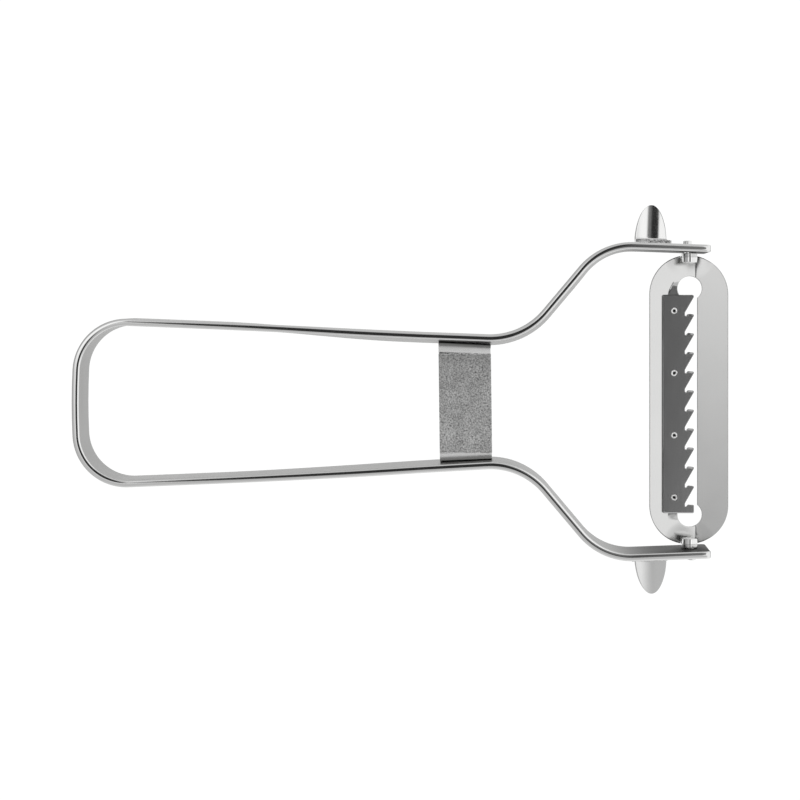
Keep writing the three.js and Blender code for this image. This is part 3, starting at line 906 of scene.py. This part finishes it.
def carrier_faces(x, y, nearest, on_wing):
    """Heights of the sheet's top and underside at a place, with its rounded rim and its ground edge."""
    level = carrier_level(x, y)
    half = carrier_thickness / 2
    drop = rounded_off(carrier_rim_round, nearest)
    above = level + half - drop
    below = level - half + drop
    fade_out, fade_in = cutting_grind_range
    ground = smooth_step(slot_right_half + fade_out, slot_right_half + fade_in, abs(y - slot_middle))
    if on_wing and x < slot_right + cutting_grind_width and ground > 0:
        back = max(0, x - slot_right)
        shed = cutting_bevel_drop * max(0, 1 - back / cutting_bevel_width)
        ground_off = carrier_thickness - cutting_bevel_drop - cutting_edge_thickness
        raised = ground_off * max(0, 1 - back / cutting_grind_width)
        above += (level + half - shed - above) * ground
        below += (level - half + raised - below) * ground
    return above, below


def carrier_sheet():
    """The stamped sheet about the pivot axis: rings from the slot out to the rim, above and below."""
    upper = []
    lower = []
    pairs = carrier_outlines()
    for outside, inside in pairs:
        width = math.dist(outside, inside)
        shares = [d / width for d in rim_rows + grind_rows]
        ends = [1 - d / width for d in reversed(rim_rows)]
        gap = ends[0] - shares[-1]
        fill = [shares[-1] + gap * k / carrier_rows for k in range(1, carrier_rows)]
        for share in shares + fill + ends:
            x = inside[0] + (outside[0] - inside[0]) * share
            y = inside[1] + (outside[1] - inside[1]) * share
            nearest = min(share, 1 - share) * width
            above, below = carrier_faces(x, y, nearest, inside[0] > keyhole_offset)
            upper.append((x, y, above))
            lower.append((x, y, below))
    columns = len(pairs)
    under = len(upper)
    rows = under // columns
    last = rows - 1
    faces = []
    for i in range(columns):
        a = i * rows
        b = (i + 1) % columns * rows
        for j in range(last):
            faces.append((a + j, a + j + 1, b + j + 1, b + j))
            faces.append((under + a + j, under + b + j, under + b + j + 1, under + a + j + 1))
        faces.append((a, b, under + b, under + a))
        faces.append((a + last, under + a + last, under + b + last, b + last))
    return upper + lower, faces


def carrier_steel():
    """Satin rolled sheet with a fine grain along the blade."""
    steel, place = new_steel("carrier_steel")
    clouds = mottle(place, 120)
    grain = grained(place, (3600, 60, 900))
    colour = tinted(clouds, (0.6, 0.6, 0.595, 1), (0.66, 0.66, 0.655, 1))
    return finished(steel, colour, spread(clouds, 0.12, 0.18), grain, strength=0.06, depth=0.02)


def ear(steel):
    """A tongue of the sheet at the +Y end, bent up and rounded about the pivot axis."""
    bend_y = ear_outer - carrier_thickness / 2 - ear_bend_radius
    foot_y = ear_outer - ear_foot_length
    foot_z = carrier_level(0, bend_y)
    line = walk(foot_y, foot_z, 0, [
        (bend_y - foot_y, 0),
        (ear_bend_radius * math.pi / 2, math.pi / 2),
        (-foot_z - ear_bend_radius, 0),
        *rounding_moves(ear_width / 2, 12),
    ], facet=math.radians(6))
    shrinks = []
    for y, z, _ in line:
        narrowed = math.sqrt(max(ear_tip_share ** 2, 1 - max(0, z / (ear_width / 2)) ** 2))
        thinned = 1 - ear_foot_thin * smooth_step(ear_outer - ear_foot_thin_from, foot_y, y)
        shrinks.append((thinned, thinned, narrowed))
    section = rounded_section(carrier_thickness / 2, ear_width / 2, ear_edge_round)
    return stood_up(bent_bar("ear", line, 0, shrinks, section, steel))


def eyelet_holes(level):
    """The holes for the eyelets, through a sheet at this level."""
    places = [(eyelet_offset, eyelet_first + k * eyelet_step, level) for k in range(eyelet_count)]
    return [(place, "Z", eyelet_hole_radius, eyelet_drill_length) for place in places]


def joined(made, other):
    """Adds another object's mesh to a piece and uses the other up."""
    with bpy.context.temp_override(active_object=made, selected_editable_objects=[made, other]):
        bpy.ops.object.join()
    return made


sheet_steel = carrier_steel()
blade_carrier = object_of("blade_carrier_sheet", *carrier_sheet())
blade_carrier.data.materials.append(sheet_steel)
drilled(blade_carrier, eyelet_holes(land_level))
ears = in_places("ears", ear(sheet_steel), [((0, 0, 0), 0), ((0, 0, 0), math.pi)], sheet_steel)
drilled(ears, [((0, 0, 0), "Y", ear_hole_radius, 3 * ear_outer)])
joined(shaded(blade_carrier, 40), shaded(ears, 40))
blade_carrier.data.transform(Matrix.Translation(pivot * MM))
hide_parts("blade_carrier")
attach(blade_carrier, "swivel_head")

# Toothed plate.
# The julienne blade: a thin hardened plate punched with a row of hooked teeth, fixed on the carrier's land.
# The middle teeth are ground to a facet along their upper edges; the first and the last two are square.
# The edge of its tail, at the right arm, is eased.
tooth_facet = 0.42
tooth_facet_edge = 0.07
tooth_crest = ((0.1, 0, 1), (0.5, -0.03, 1))
tooth_tip_drop = 0.08
tooth_tip_arc = (85, -32)
gullet_round = 0.2
gullet_depth = 0.45
gullet_rise = 0.5
gullet_foot = 0.28
first_tip_round = 0.4
plate_edge_round = 0.1
plate_head_round = 0.2
plate_corner_round = 0.65
plate_tip_round = 0.3
plate_tail_zone = 0.3
plate_tail_roll = 0.22
plate_tail_drop = 0.055


def plain_arc(*given):
    """Points on an arc of the plate's edge, with no facet."""
    return [(x, y, 0) for x, y in arc(*given)]


def tooth_edge():
    """The right-hand edge of one tooth, gullet to gullet: points with their share of the facet."""
    rise_x = plate_gullet + gullet_round
    edge = [(plate_gullet, 0, 0)]
    edge += plain_arc(rise_x, gullet_round - gullet_depth, gullet_round, 180, 270, 6)
    for k in range(1, 9):
        share = k / 8
        y = -gullet_depth + gullet_depth * smooth_step(0, 1, share)
        edge.append((rise_x + gullet_rise * share, y, min(1, 2 * share)))
    edge += tooth_crest
    tip_y = -tooth_tip_drop - plate_tip_round
    tip = plain_arc(plate_tip - plate_tip_round, tip_y, plate_tip_round, *tooth_tip_arc, 12)
    edge += [(x, y, max(0, 1 - k / 6)) for k, (x, y, _) in enumerate(tip)]
    edge.append((plate_gullet, gullet_foot - tooth_pitch, 0))
    edge.append((plate_gullet, -tooth_pitch, 0))
    return edge


def plate_cell(edge, faceted, head=False, tail=False):
    """A slice of the plate with this right-hand edge, from the top down; it is open where slices meet."""
    top = edge[0][1]
    bottom = edge[-1][1]
    left_top = [(plate_left, top, 0)]
    left_bottom = [(plate_left, bottom, 0)]
    if head:
        corner = plate_head_round
        left_top = plain_arc(plate_left + corner, top - corner, corner, 180, 90, 4)
    if tail:
        corner = plate_corner_round
        left_bottom = plain_arc(plate_left + corner, bottom + corner, corner, 270, 180, 6)
    loop = left_top + edge + left_bottom
    count = len(loop)
    open_top = None if head else 0
    open_bottom = None if tail else count - 2
    layers = ([], [], [])
    for i, (x, y, share) in enumerate(loop):
        before = Vector(loop[i - 1][:2])
        after = Vector(loop[(i + 1) % count][:2])
        here = Vector((x, y))
        runs = []
        if i - 1 != open_top and (i - 1) % count != open_bottom:
            runs.append((here - before).normalized())
        if i != open_top and i != open_bottom:
            runs.append((after - here).normalized())
        run = sum(runs, Vector((0, 0))).normalized()
        inward = Vector((run.y, -run.x)) * plate_edge_round
        if len(runs) == 1:
            inward.y = 0
        facet = share if faceted else 0
        inward = inward * (1 - facet) + Vector((0, -tooth_facet)) * facet
        under = (plate_thickness - plate_edge_round) * (1 - facet) + tooth_facet_edge * facet
        if tail and y < bottom + plate_tail_zone:
            inward.y = plate_tail_roll
            under = plate_thickness - plate_tail_drop
        layers[0].append((x, y, 0))
        layers[1].append((x, y, under))
        layers[2].append((x + inward.x, y + inward.y, plate_thickness))
    faces = [tuple(range(count)), tuple(reversed(range(2 * count, 3 * count)))]
    for i in range(count):
        if i in (open_top, open_bottom):
            continue
        j = (i + 1) % count
        for layer in (0, count):
            faces.append((layer + i, layer + count + i, layer + count + j, layer + j))
    return [point for layer in layers for point in layer], faces


def row_tree():
    """Repeats a shape along a line, turned about Z by random angles, and welds the row to the host."""
    tree, given, out = new_tree("row", {
        "Ends": "Geometry", "Shape": "Object", "Count": "Int", "Start": "Vector", "Step": "Vector",
        "Turn": "Float", "Seed": "Int", "Steel": "Material",
    })
    line = add(tree, "GeometryNodeMeshLine", {
        "Count": given["Count"], "Start Location": given["Start"], "Offset": given["Step"],
    }, mode="OFFSET")
    turn = add(tree, "FunctionNodeRandomValue", {
        "Max": given["Turn"], "Seed": given["Seed"],
    }, data_type="FLOAT")
    spin = add(tree, "ShaderNodeCombineXYZ", {"Z": turn.outputs["Value"]})
    shape = add(tree, "GeometryNodeObjectInfo", {"Object": given["Shape"]})
    copies = add(tree, "GeometryNodeInstanceOnPoints", {
        "Points": line, "Instance": shape.outputs["Geometry"], "Rotation": spin,
    })
    real = add(tree, "GeometryNodeRealizeInstances", {"Geometry": copies})
    both = add(tree, "GeometryNodeJoinGeometry", {"Geometry": real})
    tree.links.new(given["Ends"], both.inputs[0])
    welded = add(tree, "GeometryNodeMergeByDistance", {"Geometry": both, "Distance": 1e-7})
    end_tree(tree, welded, given["Steel"], out)
    return tree


def plate_steel():
    """Hardened plate, darker and ground satin."""
    steel, place = new_steel("tooth_steel")
    clouds = mottle(place, 150)
    grain = grained(place, (2400, 120, 900))
    colour = tinted(clouds, (0.52, 0.52, 0.52, 1), (0.6, 0.6, 0.6, 1))
    return finished(steel, colour, spread(grain, 0.12, 0.19), grain, strength=0.05, depth=0.02)


row_of_copies = row_tree()
plate_seat = land_level + carrier_thickness / 2 + seat_gap
tooth = tooth_edge()
first_x = plate_tip - first_tip_round
first_tooth = [(first_x, 0, 0)]
first_tooth += plain_arc(first_x, -first_tip_round, first_tip_round, *tooth_tip_arc, 10)
first_tooth += tooth[-2:]
last_x = plate_tip - plate_tip_round
last_tooth = [point for point in tooth[:-2] if point[0] < last_x]
last_tooth += plain_arc(last_x, tooth_crest[-1][1] - plate_tip_round, plate_tip_round, 80, 0, 5)
last_tooth += plain_arc(last_x, plate_tip_round - plate_tail, plate_tip_round, 0, -90, 5)
end_points = []
end_faces = []
for cell, rank in (
    (plate_cell(first_tooth, False, head=True), 0),
    (plate_cell(tooth, False), tooth_count - 2),
    (plate_cell(last_tooth, False, tail=True), tooth_count - 1),
):
    first = len(end_points)
    end_points += [(x, y + plate_top - rank * tooth_pitch, z) for x, y, z in cell[0]]
    end_faces += [tuple(first + i for i in face) for face in cell[1]]
tooth_cell = object_of("tooth", *plate_cell(tooth, True))
julienne_blade = grown(
    object_of("julienne_plate", end_points, end_faces), row_of_copies,
    Shape=tooth_cell, Count=tooth_count - 3,
    Start=(0, (plate_top - tooth_pitch) * MM, 0), Step=(0, -tooth_pitch * MM, 0),
    Turn=0.0, Seed=1, Steel=plate_steel(),
)
bpy.data.objects.remove(tooth_cell)
drilled(julienne_blade, eyelet_holes(0))
shaded(julienne_blade, 25)
tail_line = plate_bottom + plate_tail_zone + plate_tail_roll + 2 * tolerance
for edge in julienne_blade.data.edges:
    ends = [julienne_blade.data.vertices[k].co / MM for k in edge.vertices]
    on_top = all(end.z > plate_thickness - tolerance for end in ends)
    edge.use_edge_sharp |= on_top and max(end.y for end in ends) < tail_line
julienne_blade.data.transform(Matrix.Translation((pivot + Vector((0, 0, plate_seat))) * MM))
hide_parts("julienne_blade")
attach(julienne_blade, "swivel_head")

# Blade eyelets.
# Four small steel rivets that hold the toothed plate on the land.
# Each is rolled over above and below by a punch, which leaves a bright uneven ring about a blind pit.
eyelet_flange_radius = 0.75
eyelet_flange_height = 0.25
eyelet_shank_radius = 0.5
eyelet_recess = 0.05
eyelet_ring = ((0.92, 0), (0.95, 0.06), (0.93, 0.12), (0.88, 0.16), (0.8, 0.18), (0.7, 0.165), (0.5, 0.125))
eyelet_swell = 1.06
eyelet_waves = ((0.035, 3, 0.6), (0.02, 5, 1.9), (0.03, 2, 0))
eyelet_lip = 0.1
eyelet_pit_radius = 0.34
eyelet_pit_depth = 0.4
eyelet_pit_taper = 0.25
eyelet_pit_rows = (0, 0.1, 0.4, 0.8, 1)
eyelet_pit_point = 0.02
eyelet_seed = 5


def uneven(angle):
    """The rolled ring is a little out of round."""
    return 1 + sum(size * math.sin(count * angle + start) for size, count, start in eyelet_waves)


def eyelet_steel():
    """Bright punched metal; the pit is painted nearly black as shade, and is rougher."""
    steel, place = new_steel("eyelet_steel")
    clouds = mottle(place, 1500)
    height = split(place)["Z"]
    rim = pivot.z + eyelet_top + eyelet_lip
    pit_floor = rim - eyelet_lip - eyelet_pit_depth
    sunk = spread(height, 1, 0, (rim - 0.12) * MM, rim * MM, smooth=True)
    blind = spread(height, 0, 1, (pit_floor - 0.1) * MM, pit_floor * MM)
    pit = maths("MULTIPLY", sunk, blind)
    shiny = tinted(clouds, (0.82, 0.82, 0.815, 1), (0.95, 0.95, 0.945, 1))
    # Painted shade: the pit is coloured nearly black.
    colour = tinted(pit, shiny, (0.07, 0.07, 0.07, 1))
    rough = mixed(pit, spread(clouds, 0.1, 0.2), 0.5)
    return finished(steel, colour, rough, mottle(place, 2600, 1.0), strength=1.0, depth=0.3)


eyelet_top = plate_seat + plate_thickness + seat_gap
eyelet_foot = land_level - carrier_thickness / 2 - seat_gap
eyelet_profile = [(radius, eyelet_foot - eyelet_recess) for radius in (lathe_core, eyelet_pit_radius)]
ring_radius = (eyelet_flange_radius / eyelet_swell - eyelet_pit_radius) / 2
ring_middle = eyelet_pit_radius + ring_radius
eyelet_profile += arc(ring_middle, eyelet_foot, ring_radius, 180, 360, 12, high=eyelet_flange_height)[1:]
eyelet_profile += [(eyelet_shank_radius, eyelet_foot), (eyelet_shank_radius, eyelet_top)]
eyelet_profile += [(eyelet_flange_radius * out, eyelet_top + up) for out, up in eyelet_ring]
pit_rim = eyelet_top + eyelet_lip
for share in eyelet_pit_rows:
    out = eyelet_pit_radius * (1 - eyelet_pit_taper * share)
    eyelet_profile.append((out, pit_rim - eyelet_pit_depth * share))
eyelet_profile.append((lathe_core, pit_rim - eyelet_pit_depth - eyelet_pit_point))
eyelet_shape = shaded(lathed("eyelet", eyelet_profile, 48, uneven), 50)
blade_eyelets = grown(
    object_of("blade_eyelets_row", []), row_of_copies,
    Shape=eyelet_shape, Count=eyelet_count,
    Start=(pivot + Vector((eyelet_offset, eyelet_first, 0))) * MM, Step=(0, eyelet_step * MM, 0),
    Turn=2 * math.pi, Seed=eyelet_seed, Steel=eyelet_steel(),
)
bpy.data.objects.remove(eyelet_shape)
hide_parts(*(f"blade_eyelet_{k + 1}" for k in range(eyelet_count)))
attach(blade_eyelets, "swivel_head")

# Floor, light and camera.
# A white table, lit from below, in a white tent with a dark opening overhead where the camera looks in.
# The tent's roof is dimmer to the left and to the right, and its walls are dimmer towards the butt.
# The camera looks straight down, with its lens shifted to frame the peeler.
floor_size = 6000
floor_corners = ((-1, -1), (1, -1), (1, 1), (-1, 1))
floor = object_of("floor", [(floor_size * x, floor_size * y, 0) for x, y in floor_corners], [(0, 1, 2, 3)])
floor_paint = bpy.data.materials.new("floor_paint")
floor_paint.use_nodes = True
floor_looks = {
    "Base Color": (0.12, 0.12, 0.12, 1),
    "Roughness": 0.9,
    "Specular IOR Level": 0,
    "Emission Color": (1, 1, 1, 1),
    "Emission Strength": 0.97,
}
for socket, value in floor_looks.items():
    floor_paint.node_tree.nodes["Principled BSDF"].inputs[socket].default_value = value
floor.data.materials.append(floor_paint)

tent_bright = 1.16
roof_right = 0.57
roof_right_way = (0.3, 1, 0)
roof_right_range = (-0.2, -0.05)
roof_left = 0.6
roof_left_way = (-0.25, 1, 0)
roof_left_range = (0.24, 0.32)
wall_butt = 0.4
wall_blade = 1.02
wall_way = (1, -0.3, 0)
wall_range = (-0.8, 0.8)
eaves_range = (math.radians(23), math.radians(36))
opening_middle = (0.02, 0.06, 0)
opening_reach = (0.19, 0.25, 1e6)
opening_edge = (0.86, 1.16)
opening_dark = 0.03
opening_grey = 0.2
opening_grey_range = (0.05, 0.12)


def tent_light():
    """The tent by direction: roof, walls and the dark opening overhead."""
    tent = bpy.data.worlds.new("light_tent")
    tent.use_nodes = True
    tree = tent.node_tree
    toward = add(tree, "ShaderNodeTexCoord").outputs["Generated"]
    parts = split(toward)

    def reach(way):
        product = add(tree, "ShaderNodeVectorMath", {0: toward, 1: way}, operation="DOT_PRODUCT")
        return product.outputs["Value"]

    right = spread(reach(roof_right_way), roof_right, tent_bright, *roof_right_range)
    left = spread(reach(roof_left_way), tent_bright, roof_left, *roof_left_range)
    roof = maths("MINIMUM", right, left)
    wall = spread(reach(wall_way), wall_butt, wall_blade, *wall_range)
    down = spread(maths("ARCCOSINE", parts["Z"]), 0, 1, *eaves_range, smooth=True)
    from_middle = add(tree, "ShaderNodeMapping", {
        "Vector": toward, "Location": opening_middle, "Scale": opening_reach,
    }, vector_type="TEXTURE").outputs[0]
    apart = add(tree, "ShaderNodeVectorMath", {0: from_middle}, operation="LENGTH").outputs["Value"]
    outside = spread(apart, 0, 1, *opening_edge, smooth=True)
    inside = spread(parts["X"], opening_dark, opening_grey, *opening_grey_range, smooth=True)
    light = mixed(outside, inside, mixed(down, roof, wall))
    tree.links.new(light, tree.nodes["Background"].inputs["Strength"])
    tree.nodes["Background"].inputs["Color"].default_value = (1, 1, 1, 1)
    return tent


bpy.context.scene.world = tent_light()
bpy.context.scene.view_settings.view_transform = "Standard"

camera_place = Vector((15.1, 23.7, 470.6))
camera_lens = 92.87
camera_framing = (-0.0875, -0.1312)
camera = bpy.data.objects.new("camera", bpy.data.cameras.new("camera"))
camera.data.lens = camera_lens
camera.data.shift_x, camera.data.shift_y = camera_framing
camera.data.clip_start = 0.01
camera.location = camera_place * MM
bpy.context.scene.collection.objects.link(camera)
bpy.context.scene.camera = camera
